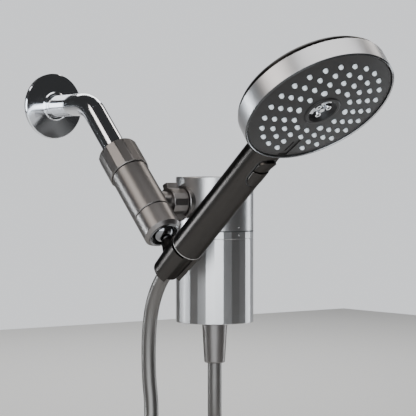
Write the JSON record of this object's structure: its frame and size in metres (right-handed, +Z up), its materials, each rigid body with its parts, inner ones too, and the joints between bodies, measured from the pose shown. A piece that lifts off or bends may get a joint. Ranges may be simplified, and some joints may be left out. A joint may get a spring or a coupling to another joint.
{
  "type": "handheld shower head",
  "caption": "Wall-mounted hand shower: curved arm, swivel bracket with in-line filter, coiled metal hose and a round multi-jet handset resting in an open cradle.",
  "frame": {"origin": "centre of the wall flange's back face, on the shower arm's axis where it enters the wall", "axes": "+Z up, +Y into the wall, -Y out into the room, +X towards the filter's side"},
  "size_m": [0.1773, 0.4658, 0.4991],
  "materials": {
    "polished_chrome": "polished",
    "gunmetal_body": "satin",
    "gunmetal_filter": "satin",
    "gunmetal_handset": "satin",
    "satin_rim": "satin",
    "hose_metal": "satin",
    "charcoal_face": "satin",
    "nozzle_silicone": "matte",
    "gloss_black": "gloss",
    "black_rubber": "matte",
    "white_acetal": "satin",
    "filter_carbon": "matte",
    "flow_insert": "satin",
    "brass_fitting": "machined",
    "stainless_steel": "satin"
  },
  "bodies": {
    "root": {"wall_flange": "polished_chrome", "flange_gasket": "black_rubber", "shower_arm": "polished_chrome", "inlet_washer": "black_rubber", "inlet_screen": "stainless_steel", "bracket_body": "gunmetal_body", "ball_collar": "gunmetal_body", "collar_trim": "polished_chrome", "ball_ring": "gloss_black", "union_seal": "black_rubber", "cap_ring": "gunmetal_body", "filter_cap": "gunmetal_filter", "housing_seal": "black_rubber", "hose_filter_run": "hose_metal", "hose_coil": "hose_metal", "coil_ties": "black_rubber", "hose_handset_run": "hose_metal"},
    "inlet_nut": {"inlet_nut": "gunmetal_body"},
    "union_nut": {"union_nut": "gunmetal_body"},
    "lock_ring": {"lock_ring": "gunmetal_filter"},
    "filter_shell": {"filter_shell": "gunmetal_filter", "cartridge_top": "white_acetal", "cartridge_tube": "white_acetal", "filter_media": "filter_carbon", "cartridge_base": "white_acetal", "cartridge_seal": "black_rubber", "outlet_nipple": "brass_fitting", "lower_hose_nut": "gunmetal_handset", "lower_hose_washer": "black_rubber"},
    "swivel_seat": {"swivel_seat": "white_acetal"},
    "cradle": {"cradle_ball": "polished_chrome", "cradle": "gunmetal_handset", "cradle_screw": "stainless_steel"},
    "hose_nut": {"upper_hose_nut": "gunmetal_handset", "upper_hose_washer": "black_rubber"},
    "handset": {"inlet_nipple": "brass_fitting", "flow_restrictor": "flow_insert", "handle_shell": "gunmetal_handset", "water_tube": "white_acetal", "valve_sleeve": "white_acetal", "valve_spring": "stainless_steel", "button_bezel": "gloss_black", "head_shell": "gunmetal_handset", "rim_ring": "satin_rim", "water_chamber": "white_acetal", "chamber_screws": "stainless_steel", "distribution_plate": "white_acetal", "head_seal": "black_rubber", "turbine_axle": "stainless_steel", "nozzle_mat": "nozzle_silicone", "face_plate": "charcoal_face", "face_key": "charcoal_face", "center_bezel": "charcoal_face", "center_jets": "polished_chrome"},
    "spray_button": {"spray_button": "gunmetal_handset"},
    "turbine": {"turbine": "white_acetal"}
  },
  "joints": [
    {"name": "inlet_nut_spin", "type": "hinge", "parent": "root", "child": "inlet_nut", "pos_m": [0, -0.12329, -0.05629], "axis": [0, -0.7071, -0.7071], "continuous": true},
    {"name": "union_nut_spin", "type": "hinge", "parent": "root", "child": "union_nut", "pos_m": [0.0313, -0.15878, -0.09178], "axis": [1, 0, 0], "continuous": true},
    {"name": "lock_ring_twist", "type": "hinge", "parent": "root", "child": "lock_ring", "pos_m": [0.0778, -0.15878, -0.12208], "axis": [0, 0, 1], "range_deg": [0, 30]},
    {"name": "housing_drop", "type": "slide", "parent": "root", "child": "filter_shell", "axis": [0, 0, -1], "range_m": [0, 0.03], "deforming": ["hose_filter_run"]},
    {"name": "bracket_swivel", "type": "hinge", "parent": "root", "child": "swivel_seat", "pos_m": [0, -0.18325, -0.11625], "axis": [0, -0.7071, -0.7071], "range_deg": [-40, 40], "deforming": ["hose_handset_run"]},
    {"name": "bracket_tilt", "type": "hinge", "parent": "swivel_seat", "child": "cradle", "pos_m": [0, -0.18325, -0.11625], "axis": [1, 0, 0], "range_deg": [-20, 20], "deforming": ["hose_handset_run"]},
    {"name": "handset_lift", "type": "slide", "parent": "cradle", "child": "hose_nut", "axis": [0, -0.788, 0.6157], "range_m": [0, 0.034], "deforming": ["hose_handset_run"]},
    {"name": "handset_twist", "type": "hinge", "parent": "hose_nut", "child": "handset", "pos_m": [0, -0.22176, -0.12992], "axis": [0, -0.788, 0.6157], "continuous": true},
    {"name": "spray_button_press", "type": "slide", "parent": "handset", "child": "spray_button", "axis": [0, 0.6157, 0.788], "range_m": [0, 0.0015], "stiffness_N_per_m": 900, "springref_m": -0.001, "deforming": ["valve_spring"]},
    {"name": "turbine_spin", "type": "hinge", "parent": "handset", "child": "turbine", "pos_m": [0, -0.39837, -0.01568], "axis": [0, -0.6157, -0.788], "continuous": true}
  ]
}
